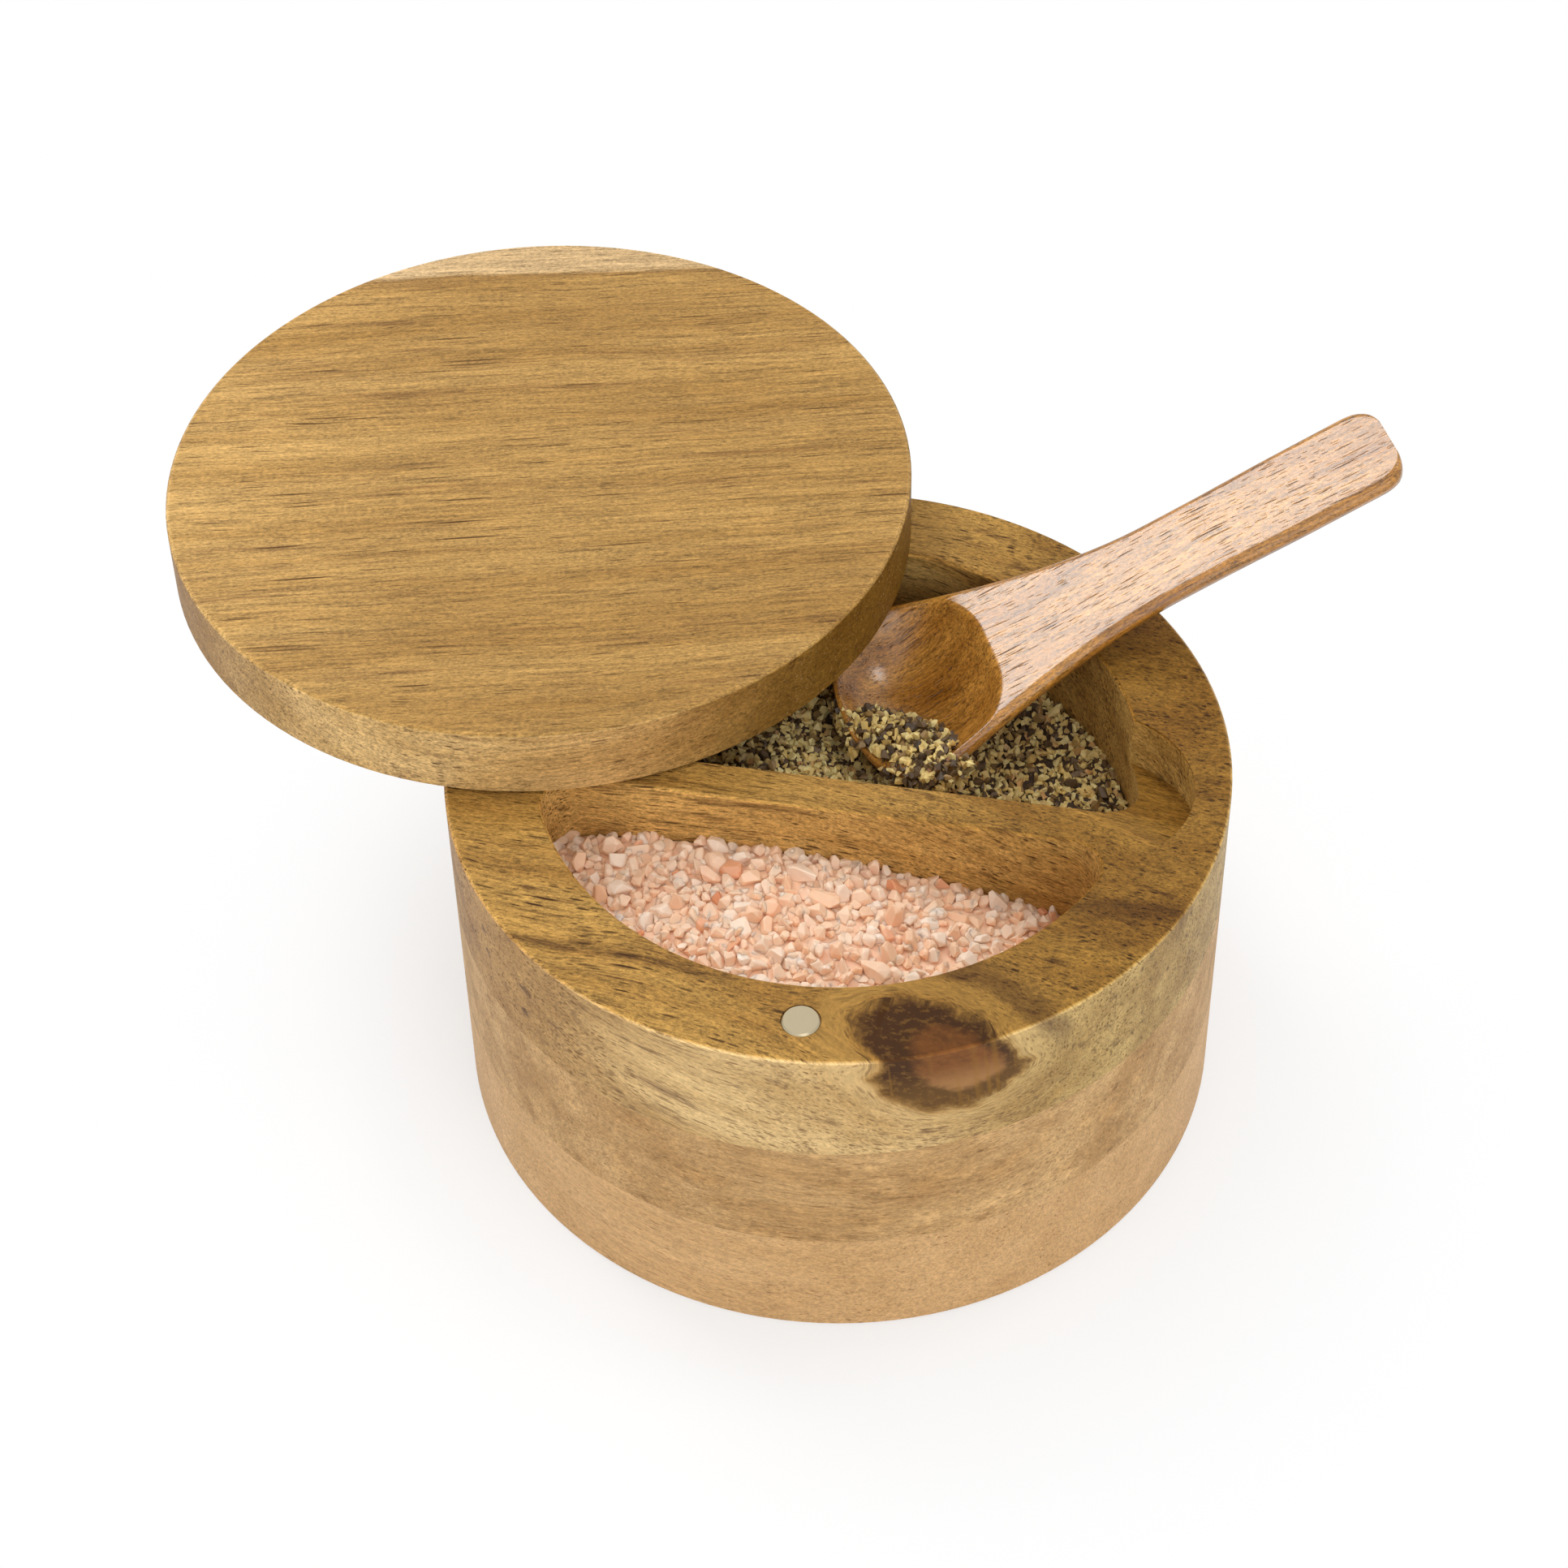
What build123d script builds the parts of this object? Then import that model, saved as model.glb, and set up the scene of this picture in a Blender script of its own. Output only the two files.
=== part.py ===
from build123d import *
from math import asin, atan2, cos, pi, radians, sin, sqrt
import os

# Round two-compartment salt cellar with a swivel lid and a scoop spoon.
# Origin: centre of the underside. +Z up, -Y to the catch magnet, +Y to the lid's pivot.
# All sizes in millimetres and degrees.

# Box: three boards glued one on another and turned round
body_radius = 63.5
board_thickness = 22.0
floor_thickness = 10.0
edge_break = 0.5

# The two compartments milled into the box
wall_thickness = 14.7
divider_thickness = 7.1
divider_offset = -9.05
divider_angle = -4.2
salt_corner_radius = 5.5
pepper_corner_radius = 9.5
lip_break = 0.4

# Rest for the spoon's handle: a round pocket with a sloping floor, beside the divider's end
rest_radius = 16.4
rest_rim = 5.78
rest_bearing = -4.45
rest_slope = 24.1
rest_slope_direction = 61.6
rest_floor_start = 6.5

# Lid, its pivot pin and the magnetic catch
lid_thickness = 13.0
lid_gap = 0.3
lid_open_angle = 82.4
pivot_inset = 7.0
pin_diameter = 6.0
pin_depth_in_box = 20.0
pin_depth_in_lid = 9.0
pin_end_chamfer = 0.6
pin_glue_clearance = 0.02
pin_running_clearance = 0.06
magnet_inset = 7.7
magnet_diameter = 6.1
magnet_thickness = 3.0
magnet_air_gap = 0.1
magnet_clearance = 0.04
magnet_break = 0.35

# Spoon: length, half widths and thicknesses along its axis, measured from the rim's inner edge
spoon_handle_reach = 58.5
spoon_bowl_reach = 43.5
spoon_handle_width = 17.4
spoon_waist_width = 16.9
spoon_bowl_width = 37.6
spoon_handle_thickness = 5.0
spoon_bowl_depth = 9.5
spoon_bowl_deepest = 0.66
spoon_edge_bevel = 1.15
spoon_side_height = 1.6
spoon_side_lean = 0.45
spoon_rise = 0.00065
spoon_rise_start = 15.0
hollow_length = 25.8
hollow_tip_wall = 1.4
hollow_side_wall = 2.0
hollow_floor = 2.8

# How the spoon lies: its handle on the far rim, its bowl in the pepper
spoon_tilt = 24.0
spoon_roll = 4.0
spoon_heading = 21.4
spoon_line_offset = 16.57
spoon_rest_clearance = 0.15

# Straight way along which the spoon is drawn out
draw_elevation = 31.0
draw_heading = 0.0

# Salt and pepper
fill_clearance = 0.3
salt_depth_below_rim = 8.0
salt_dome_radius = 200.0
salt_dome_x = -14.0
salt_dome_y = -26.0
pepper_depth_below_rim = 18.7
heap_rise = 9.7
heap_radius = 30.0
heap_from_bowl_x = -13.3
heap_from_bowl_y = -16.6
trough_clearance = 0.5
scoop_clearance = 0.3
scoop_edge_x = 7.3
scoop_edge_y = 3.8
scoop_edge_depth = 4.3
scoop_heading = 34.0
scoop_slope = 45.0

body_height = 3 * board_thickness
bowl_radius = body_radius - wall_thickness
pivot_reach = body_radius - pivot_inset
magnet_reach = body_radius - magnet_inset
magnet_proud = lid_gap - magnet_air_gap
lid_base = body_height + lid_gap
salt_level = body_height - salt_depth_below_rim
pepper_level = body_height - pepper_depth_below_rim
heap_height = pepper_level + heap_rise
hollow_centre = hollow_tip_wall + hollow_length / 2 - spoon_bowl_reach
hollow_width = spoon_bowl_width - 2 * hollow_side_wall
hollow_depth = spoon_bowl_depth - hollow_floor
pin_radius = pin_diameter / 2
magnet_radius = magnet_diameter / 2


def turned_disc(radius, base, height, lower_break, upper_break):
    """A disc turned on the box's axis, with its corners broken."""
    disc = Pos(0, 0, base) * Cylinder(radius, height, align=(Align.CENTER, Align.CENTER, Align.MIN))
    if upper_break:
        disc = chamfer(disc.edges().group_by(Axis.Z)[-1], upper_break)
    if lower_break:
        disc = chamfer(disc.edges().group_by(Axis.Z)[0], lower_break)
    return disc


def divider_face(side):
    """Distance of a face of the divider from the box's axis, on the salt (-1) or pepper (1) side."""
    return divider_offset + side * divider_thickness / 2


def compartment_outline(side, corner_radius, shrink):
    """Plan of one compartment: part of the bowl circle, cut off by the divider, with round corners."""
    radius = bowl_radius - shrink
    face = divider_face(side) + side * shrink
    corner = corner_radius - shrink
    line_y = face + side * corner
    reach = sqrt((radius - corner) ** 2 - line_y ** 2)
    swing = atan2(line_y, reach)
    touch = Vector(radius * cos(swing), radius * sin(swing))
    # middle of the corner's arc, halfway between the straight face and the round wall
    middle = (swing - side * pi / 2) / 2
    bend = Vector(reach + corner * cos(middle), line_y + corner * sin(middle))
    with BuildSketch() as plan:
        with BuildLine():
            Line((-reach, face), (reach, face))
            ThreePointArc((reach, face), (bend.X, bend.Y), (touch.X, touch.Y))
            ThreePointArc((touch.X, touch.Y), (0, side * radius), (-touch.X, touch.Y))
            ThreePointArc((-touch.X, touch.Y), (-bend.X, bend.Y), (-reach, face))
        make_face()
    return Rot(0, 0, divider_angle) * plan.sketch


def compartment(side, corner_radius, base, top, shrink=0.0):
    """Upright solid of a compartment between two heights."""
    outline = compartment_outline(side, corner_radius, shrink)
    return Pos(0, 0, base) * extrude(outline, top - base)


def salt_space(base, top, shrink=0.0):
    return compartment(-1, salt_corner_radius, base, top, shrink)


def pepper_space(base, top, shrink=0.0):
    return compartment(1, pepper_corner_radius, base, top, shrink)


def lip_cutter(side, corner_radius):
    """Small bevel along a compartment's upper edge."""
    outline = compartment_outline(side, corner_radius, -lip_break)
    return Pos(0, 0, body_height) * extrude(outline, -lip_break, taper=45)


def handle_rest():
    """Round pocket whose floor slopes down from the top of the divider towards the box's wall."""
    depth = board_thickness
    centre = Rot(0, 0, rest_bearing) * Pos(body_radius - rest_rim - rest_radius, 0, body_height)
    well = Cylinder(rest_radius, 2 * depth)
    above = Box(4 * rest_radius, 4 * rest_radius, depth, align=(Align.CENTER, Align.CENTER, Align.MIN))
    turn = Rot(0, 0, rest_slope_direction - rest_bearing)
    slope = turn * Pos(-rest_floor_start, 0, 0) * Rot(0, rest_slope, 0)
    return centre * (well & (slope * above))


def bottom_board():
    board = turned_disc(body_radius, 0, board_thickness, edge_break, 0)
    top = board_thickness + 1
    return board - salt_space(floor_thickness, top) - pepper_space(floor_thickness, top)


def middle_board():
    base = board_thickness
    board = turned_disc(body_radius, base, board_thickness, 0, 0)
    return board - salt_space(base - 1, 2 * base + 1) - pepper_space(base - 1, 2 * base + 1)


def top_board():
    base = 2 * board_thickness
    board = turned_disc(body_radius, base, board_thickness, 0, edge_break)
    board -= salt_space(base - 1, body_height + 1)
    board -= pepper_space(base - 1, body_height + 1)
    board -= lip_cutter(-1, salt_corner_radius)
    board -= lip_cutter(1, pepper_corner_radius)
    board -= handle_rest()
    seat = pin_radius + pin_glue_clearance
    board -= Pos(0, pivot_reach, body_height - pin_depth_in_box) * bore(seat, pin_depth_in_box + 1)
    pocket_depth = magnet_thickness - magnet_proud
    seat = magnet_radius + magnet_clearance
    return board - Pos(0, -magnet_reach, body_height - pocket_depth) * bore(seat, pocket_depth + 1)


def bore(radius, depth):
    return Cylinder(radius, depth, align=(Align.CENTER, Align.CENTER, Align.MIN))


def swung_open(piece):
    """Carries a piece of the closed lid round the pivot to the open position."""
    return Pos(0, pivot_reach, 0) * Rot(0, 0, -lid_open_angle) * Pos(0, -pivot_reach, 0) * piece


def lid():
    panel = turned_disc(body_radius, lid_base, lid_thickness, edge_break, edge_break)
    running = pin_radius + pin_running_clearance
    panel -= Pos(0, pivot_reach, lid_base - 1) * bore(running, pin_depth_in_lid + 1)
    seat = magnet_radius + magnet_clearance
    panel -= Pos(0, -magnet_reach, lid_base - 1) * bore(seat, magnet_thickness + 1)
    return swung_open(panel)


def pivot_pin():
    length = pin_depth_in_box + lid_gap + pin_depth_in_lid - pin_end_chamfer
    pin = bore(pin_radius, length)
    pin = chamfer(pin.edges().filter_by(GeomType.CIRCLE), pin_end_chamfer)
    return Pos(0, pivot_reach, body_height - pin_depth_in_box) * pin


def magnet():
    disc = bore(magnet_radius, magnet_thickness)
    return chamfer(disc.edges().filter_by(GeomType.CIRCLE), magnet_break)


def box_magnet():
    return Pos(0, -magnet_reach, body_height + magnet_proud - magnet_thickness) * magnet()


def lid_magnet():
    return swung_open(Pos(0, -magnet_reach, lid_base) * magnet())


def spoon_leaning(lift):
    """The spoon's frame: X along the handle, Y across it, origin over the rim's inner edge."""
    heading = radians(spoon_heading)
    along = sqrt(bowl_radius ** 2 - spoon_line_offset ** 2)
    x = along * cos(heading) - spoon_line_offset * sin(heading)
    y = along * sin(heading) + spoon_line_offset * cos(heading)
    place = Pos(x, y, body_height + lift)
    return place * Rot(0, 0, spoon_heading) * Rot(0, -spoon_tilt, 0) * Rot(spoon_roll, 0, 0)


def spoon_underside(x, y):
    """Height of the crowned underside in the spoon's frame."""
    half, top, depth, edge = spoon_sizes(x)
    corner, bend = crown_of(half, depth, edge)
    return top - depth + bend - sqrt(bend ** 2 - min(abs(y), corner) ** 2)


def spoon_lift():
    """Height of the spoon's frame over the rim, with its underside just clear of the inner edge."""
    flat = spoon_leaning(0).inverse()
    upward = (flat * Pos(0, 0, 1)).position - flat.position
    edge_radius = bowl_radius + lip_break
    lift = 0
    for step in range(-30, 31):
        bearing = radians(spoon_heading + 20 + step)
        spot = flat * Pos(edge_radius * cos(bearing), edge_radius * sin(bearing), body_height)
        point = spot.position
        if abs(point.Y) > spoon_half_width(point.X):
            continue
        need = 0
        for again in range(6):
            under = spoon_underside(point.X - need * upward.X, point.Y - need * upward.Y)
            need = (point.Z - under) / upward.Z
        lift = max(lift, need)
    return lift + spoon_rest_clearance


def spoon_frame():
    """Where the spoon lies, its handle on the rim and its bowl in the pepper."""
    return spoon_leaning(spoon_lift())


def blend(value, low, high):
    """Smooth step from 0 at low to 1 at high."""
    t = min(max((value - low) / (high - low), 0), 1)
    return t * t * (3 - 2 * t)


def spoon_half_width(x):
    """Half width of the spoon at a station along its axis."""
    handle = spoon_handle_width / 2
    waist = spoon_waist_width / 2
    bowl = spoon_bowl_width / 2
    middle = 0.38 * spoon_handle_reach
    if x > middle:
        width = waist + (handle - waist) * blend(x, middle, 0.7 * spoon_handle_reach)
        rounding = 7.0
        past = max(0, (x - spoon_handle_reach + rounding) / rounding)
        return width * (1 - past ** 3.2) ** (1 / 3.2)
    widest = -0.72 * spoon_bowl_reach
    if x > widest:
        t = (middle - x) / (middle - widest)
        return waist + (bowl - waist) * (0.35 * t ** 4 + 0.65 * blend(t, 0.12, 1.12)) / 0.974
    past = (widest - x) / (spoon_bowl_reach + widest)
    return bowl * (1 - past ** 2.4) ** (1 / 2.4)


def spoon_depth(x):
    """Depth of the spoon's underside below its upper face, on its axis."""
    full = spoon_handle_thickness
    centre = spoon_bowl_deepest * spoon_bowl_reach
    if x > -centre:
        depth = full + (spoon_bowl_depth - full) * blend(-x, -0.2 * spoon_bowl_reach, centre)
        past = max(0, (x - spoon_handle_reach + 4) / 4)
        return depth * sqrt(1 - 0.8 * past ** 2)
    past = (-x - centre) / (spoon_bowl_reach - centre)
    return spoon_bowl_depth * sqrt(1 - 0.86 * past ** 2)


def spoon_top(x):
    """Height of the spoon's upper face, which curves up towards the tip of the bowl."""
    return spoon_rise * max(0, spoon_rise_start - x) ** 2


def spoon_sizes(x):
    """Half width, height of the top, depth and share of the full edge at a station."""
    half = spoon_half_width(x)
    depth = spoon_depth(x)
    side = spoon_edge_bevel + spoon_side_height
    edge = min(1, 0.6 * depth / side, 0.5 * half / spoon_edge_bevel)
    return half, spoon_top(x), depth, edge


def crown_of(half, depth, edge):
    """Half width and radius of the crowned underside, between the spoon's leaning sides."""
    corner = half - spoon_side_lean * edge
    crown = depth - (spoon_edge_bevel + spoon_side_height) * edge
    return corner, (corner ** 2 + crown ** 2) / (2 * crown)


def spoon_section(x):
    """Cross-section: flat top, bevelled edges, and an underside carved in narrow flats on a round crown."""
    half, top, depth, edge = spoon_sizes(x)
    bevel = spoon_edge_bevel * edge
    corner, bend = crown_of(half, depth, edge)
    spread = asin(corner / bend)
    count = 6
    right = [(half - bevel, top), (half, top - bevel)]
    left = [(-y, z) for y, z in reversed(right)]
    under = []
    for k in range(count + 1):
        angle = spread * (1 - 2 * k / count)
        under.append((bend * sin(angle), top - depth + bend - bend * cos(angle)))
    with BuildSketch(Plane.YZ.offset(x)) as section:
        with BuildLine():
            Polyline(*right, *under, *left, close=True)
        make_face()
    return section.sketch


def spoon_stations():
    """Stations along the spoon, closer together where its ends round off."""
    handle_end = [0.2, 0.8, 2.0, 4.0, 6.6, 10.0]
    bowl_end = [0.12, 0.5, 1.4, 3.0, 5.4, 8.4]
    stations = [spoon_handle_reach - step for step in handle_end]
    first = spoon_handle_reach - 16
    last = -spoon_bowl_reach + 12
    count = 13
    stations += [first + (last - first) * i / (count - 1) for i in range(count)]
    stations += [-spoon_bowl_reach + step for step in reversed(bowl_end)]
    return stations


def hollow_place():
    """Radius of the hollow along the spoon, and the place of its axis, which lies across, above the bowl."""
    radius = ((hollow_length / 2) ** 2 + hollow_depth ** 2) / (2 * hollow_depth)
    return radius, Pos(hollow_centre, 0, spoon_top(hollow_centre) + radius - hollow_depth)


def bowl_hollow(clearance=0.0):
    """The spoon's hollow: the lower part of a round-ended roll that lies across the spoon on that axis."""
    radius, place = hollow_place()
    radius -= clearance
    shift = (hollow_width - hollow_length) / 2
    bend = radius * sqrt(0.5)
    with BuildSketch() as profile:
        with BuildLine():
            ThreePointArc((-shift - radius, 0), (-shift - bend, bend), (-shift, radius))
            Line((-shift, radius), (shift, radius))
            ThreePointArc((shift, radius), (shift + bend, bend), (shift + radius, 0))
            Line((shift + radius, 0), (-shift - radius, 0))
        make_face()
    return place * Rot(0, 0, 90) * revolve(profile.sketch, Axis.X)


def spoon_blank():
    return loft([spoon_section(x) for x in spoon_stations()])


def spoon():
    return spoon_frame() * (spoon_blank() - bowl_hollow())


def level_ball(radius):
    """A ball whose poles lie level, away from the part of it that is used."""
    return Rot(90, 0, 0) * Sphere(radius)


def pepper_scoop():
    """Pepper heaped in the near front corner of the spoon's bowl."""
    pile = bowl_hollow(scoop_clearance)
    keep = Box(60, 60, 30, align=(Align.MAX, Align.CENTER, Align.MAX))
    edge = Pos(hollow_centre - scoop_edge_x, -scoop_edge_y, spoon_top(hollow_centre) - scoop_edge_depth)
    surface = edge * Rot(0, 0, scoop_heading) * Rot(0, scoop_slope, 0)
    return spoon_frame() * (pile & (surface * keep))


def salt_fill():
    base = salt_space(floor_thickness, body_height, fill_clearance)
    dome = Pos(salt_dome_x, salt_dome_y, salt_level - salt_dome_radius) * level_ball(salt_dome_radius)
    return base & dome


def bowl_centre():
    """Centre of the spoon's bowl, at the level of its rim."""
    x = -spoon_bowl_deepest * spoon_bowl_reach
    return spoon_frame() * Pos(x, 0, spoon_top(x))


def spoon_trough():
    """Dent of the bowl in the heap of pepper, open along the way in which the spoon is drawn out."""
    half, top, depth, edge = spoon_sizes(-spoon_bowl_deepest * spoon_bowl_reach)
    corner, bend = crown_of(spoon_bowl_width / 2 + trough_clearance, depth, edge)
    spot = (bowl_centre() * Pos(0, 0, bend - depth - trough_clearance)).position
    way = Pos(spot.X, spot.Y, spot.Z) * Rot(0, 0, draw_heading) * Rot(0, -draw_elevation, 0)
    with BuildSketch() as profile:
        with BuildLine():
            ThreePointArc((-bend, 0), (-bend * sqrt(0.5), bend * sqrt(0.5)), (0, bend))
            Polyline((0, bend), (body_radius, bend), (body_radius, 0), (-bend, 0))
        make_face()
    return way * revolve(profile.sketch, Axis.X)


def pepper_fill():
    base = pepper_space(floor_thickness, pepper_level, fill_clearance)
    rise = heap_height - pepper_level
    ball = (heap_radius ** 2 + rise ** 2) / (2 * rise)
    heap = pepper_space(pepper_level - 1, heap_height + 1, fill_clearance)
    bowl = bowl_centre().position
    centre = Pos(bowl.X + heap_from_bowl_x, bowl.Y + heap_from_bowl_y, heap_height - ball)
    heap &= centre * level_ball(ball)
    return (base + heap) - spoon_trough()


nodes = {
    "bottom_board": bottom_board,
    "middle_board": middle_board,
    "top_board": top_board,
    "lid": lid,
    "pivot_pin": pivot_pin,
    "box_magnet": box_magnet,
    "lid_magnet": lid_magnet,
    "spoon": spoon,
    "salt_fill": salt_fill,
    "pepper_fill": pepper_fill,
    "pepper_scoop": pepper_scoop,
}

os.makedirs("parts", exist_ok=True)
for name, make in nodes.items():
    piece = make()
    export_step(piece, f"parts/{name}.step")
    box = piece.bounding_box()
    print(name, "volume", round(piece.volume, 1), "min", box.min, "max", box.max)
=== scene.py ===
# %% [markdown]
# # A round salt cellar in oiled wood
# The box is turned from three boards, milled out for salt and pepper, and closed by a flat lid that swings on
# a pin. A carved spoon leans on the rim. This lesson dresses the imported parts: it adds the camera, wood that
# has grain all the way through, nickel magnets, loose grains of salt and pepper, and a studio.

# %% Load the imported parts
import math
import random

import bmesh
import bpy
from mathutils import Matrix, Vector


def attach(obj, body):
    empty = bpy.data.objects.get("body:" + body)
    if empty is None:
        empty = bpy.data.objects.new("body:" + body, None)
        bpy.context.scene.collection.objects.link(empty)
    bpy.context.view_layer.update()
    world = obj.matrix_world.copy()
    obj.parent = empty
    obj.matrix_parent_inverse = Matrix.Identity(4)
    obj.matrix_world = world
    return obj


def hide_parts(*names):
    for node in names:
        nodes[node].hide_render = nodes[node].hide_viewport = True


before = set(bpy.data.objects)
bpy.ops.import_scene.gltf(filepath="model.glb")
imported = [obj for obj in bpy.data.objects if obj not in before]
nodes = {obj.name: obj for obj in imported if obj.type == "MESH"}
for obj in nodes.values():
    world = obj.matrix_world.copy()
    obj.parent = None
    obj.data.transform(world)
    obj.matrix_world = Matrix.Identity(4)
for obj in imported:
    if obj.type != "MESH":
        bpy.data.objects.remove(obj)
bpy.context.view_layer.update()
MM = 0.001
print("nodes:", ", ".join(sorted(nodes)))

# %% [markdown]
# The photograph was taken from above and in front with a long lens. Its frame was then cropped, so the lens
# looks at a point above the middle of the picture. A shifted lens gives the same picture without tilting the
# camera.


# %% Camera
def put(name, data):
    """A new object in the scene that shows this data."""
    made = bpy.data.objects.new(name, data)
    bpy.context.scene.collection.objects.link(made)
    return made


camera_data = bpy.data.cameras.new("camera")
camera_data.lens = 78.342
camera_data.sensor_width = 36
camera_data.shift_x = -0.0286
camera_data.shift_y = -0.19575
camera_data.clip_start = 0.01
camera_data.clip_end = 20
camera = put("camera", camera_data)
camera_at = (0.0402016, -0.3824927, 0.4633601)
camera_right = Vector((0.99482624, 0.10136639, -0.00675393))
camera_up = Vector((-0.06188441, 0.65738271, 0.75101151))
camera_forward = Vector((-0.08056724, 0.74670799, -0.66025457))
turn = Matrix((camera_right, camera_up, -camera_forward)).transposed().to_4x4()
camera.matrix_world = Matrix.Translation(camera_at) @ turn
bpy.context.scene.camera = camera
print("camera at", camera_at)

# %% [markdown]
# A shader is a small network of nodes. A few helpers keep its wiring readable: they add a node and fill its
# sockets with numbers or links, do sums, mix colours, and start a group with named sockets.


# %% Helpers for nodes
def add(tree, kind, inputs=None, **settings):
    """A new node with its settings made, and its inputs linked or set."""
    made = tree.nodes.new(kind)
    for name, value in settings.items():
        setattr(made, name, value)
    for key, value in (inputs or {}).items():
        if isinstance(value, bpy.types.NodeSocket):
            tree.links.new(value, made.inputs[key])
        else:
            made.inputs[key].default_value = value
    return made


def number(tree, operation, *values):
    return add(tree, "ShaderNodeMath", dict(enumerate(values)), operation=operation).outputs[0]


def times(tree, first, *others):
    for other in others:
        first = number(tree, "MULTIPLY", first, other)
    return first


def plus(tree, first, *others):
    for other in others:
        first = number(tree, "ADD", first, other)
    return first


def minus(tree, first, second):
    return number(tree, "SUBTRACT", first, second)


def line(tree, value, factor, start):
    """Start plus the factor times the value."""
    return number(tree, "MULTIPLY_ADD", value, factor, start)


def ramp(tree, value, low, high, start=0.0, end=1.0):
    """Smooth step of a value from start at low to end at high."""
    inputs = {"Value": value, "From Min": low, "From Max": high, "To Min": start, "To Max": end}
    return add(tree, "ShaderNodeMapRange", inputs, interpolation_type="SMOOTHSTEP").outputs["Result"]


def split(tree, place):
    return add(tree, "ShaderNodeSeparateXYZ", {0: place}).outputs


def point(tree, **parts):
    return add(tree, "ShaderNodeCombineXYZ", parts).outputs[0]


def length(tree, place):
    return add(tree, "ShaderNodeVectorMath", {0: place}, operation="LENGTH").outputs["Value"]


def object_place(tree):
    return add(tree, "ShaderNodeTexCoord").outputs["Object"]


print("node helpers ready")

# %% [markdown]
# Patterns need a second set: noise that may be drawn out along an axis, and colours that are mixed, shaded or
# tinted. Colours are written from 0 to 255, as a paint chart gives them, and made linear for the shader.


# %% Helpers for patterns and colours
def noise(tree, place, scale=1.0, detail=2.0, roughness=0.5):
    inputs = {"Vector": place, "Scale": scale, "Detail": detail, "Roughness": roughness}
    return add(tree, "ShaderNodeTexNoise", inputs).outputs["Fac"]


def stretched(tree, place, cycles, detail=2.0, roughness=0.5):
    """Noise with its own number of cycles per unit along each axis."""
    place = add(tree, "ShaderNodeVectorMath", {0: place, 1: cycles}, operation="MULTIPLY").outputs[0]
    return noise(tree, place, 1.0, detail, roughness)


def mix(tree, factor, first, second, blend="MIX"):
    inputs = {0: factor, 6: first, 7: second}
    return add(tree, "ShaderNodeMix", inputs, data_type="RGBA", blend_type=blend).outputs[2]


def shaded(tree, colour, shade):
    """A colour made lighter or darker by a number."""
    grey = add(tree, "ShaderNodeCombineColor", {0: shade, 1: shade, 2: shade}).outputs[0]
    return mix(tree, 1.0, colour, grey, "MULTIPLY")


def tint(tree, factor, colour, shade):
    """Multiplies a colour by a shade as far as the factor says."""
    return mix(tree, 1.0, colour, mix(tree, factor, (1, 1, 1, 1), shade), "MULTIPLY")


def rgb(red, green, blue):
    """A colour as a paint chart gives it, from 0 to 255, made linear for the shader."""
    def linear(v):
        v /= 255
        return v / 12.92 if v <= 0.04045 else ((v + 0.055) / 1.055) ** 2.4
    return (linear(red), linear(green), linear(blue), 1.0)


def new_material(name):
    """A new material, its node tree and its shader."""
    material = bpy.data.materials.new(name)
    material.use_nodes = True
    return material, material.node_tree, material.node_tree.nodes["Principled BSDF"]


def group_with(name, inputs, outputs):
    """A node group with named sockets: its tree, what it is given, and what it gives."""
    group = bpy.data.node_groups.new(name, "ShaderNodeTree")
    for label, kind, value in inputs:
        socket = group.interface.new_socket(label, in_out="INPUT", socket_type="NodeSocket" + kind)
        if value is not None:
            socket.default_value = value
    for label, kind in outputs:
        group.interface.new_socket(label, in_out="OUTPUT", socket_type="NodeSocket" + kind)
    return group, group.nodes.new("NodeGroupInput").outputs, group.nodes.new("NodeGroupOutput").inputs


print("pattern helpers ready")

# %% [markdown]
# Wood is solid, so its pattern is worked out in three dimensions: the same bands and fibres then show as long
# lines on a face and as arcs or dots on end grain. The group takes a place in millimetres with X along the
# grain. It first bends that place: the grain dips down at one end, wanders a little, and parts round a knot
# as water parts round a stone. Everything after that is drawn in the bent place, so all of it follows one
# flow.

# %% Wood figure: its inputs and outputs
# g is the group's tree, i what it is given and o what it gives
g, i, o = group_with("wood_figure", [
    ("Place", "Vector", None), ("Pale", "Color", rgb(205, 168, 112)), ("Deep", "Color", rgb(170, 126, 72)),
    ("Streak", "Color", rgb(120, 82, 44)), ("Pore", "Color", rgb(84, 52, 26)), ("Shift", "Float", 0.0),
    ("Heart", "Vector", (0, 30, -60)), ("Band Width", "Float", 6.0), ("Band Edge", "Float", 0.16),
    ("Wander", "Float", 4.0), ("Streaks", "Float", 0.3), ("Fibre", "Float", 0.35), ("Mottle", "Float", 0.3),
    ("Dip", "Float", 0.0), ("Dip Start", "Float", 0.0), ("Pore Length", "Float", 6.0),
    ("Pore Gap", "Float", 0.9), ("Pore Size", "Float", 0.2), ("Pores", "Float", 0.7),
    ("Knot", "Vector", (0, 0, 999)), ("Knot Size", "Vector", (9, 7, 9)), ("Sap Line", "Float", 999.0),
    ("Sap", "Color", rgb(214, 184, 142)),
], [("Color", "Color"), ("Pore Mask", "Float"), ("Height", "Float"), ("Knot Mask", "Float")])
figure = g


def vector(operation, *values):
    return add(g, "ShaderNodeVectorMath", dict(enumerate(values)), operation=operation).outputs[0]


print("wood group takes", len(i) - 1, "values")

# %% [markdown]
# The bending comes first. Distance from the knot is measured in knot sizes along each axis, so the knot may
# be longer one way. Near it the place is squeezed towards the knot's middle line, which sends the grain round
# it. The dip grows with the square of the distance past its start, and slow noise makes the wander.

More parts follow.
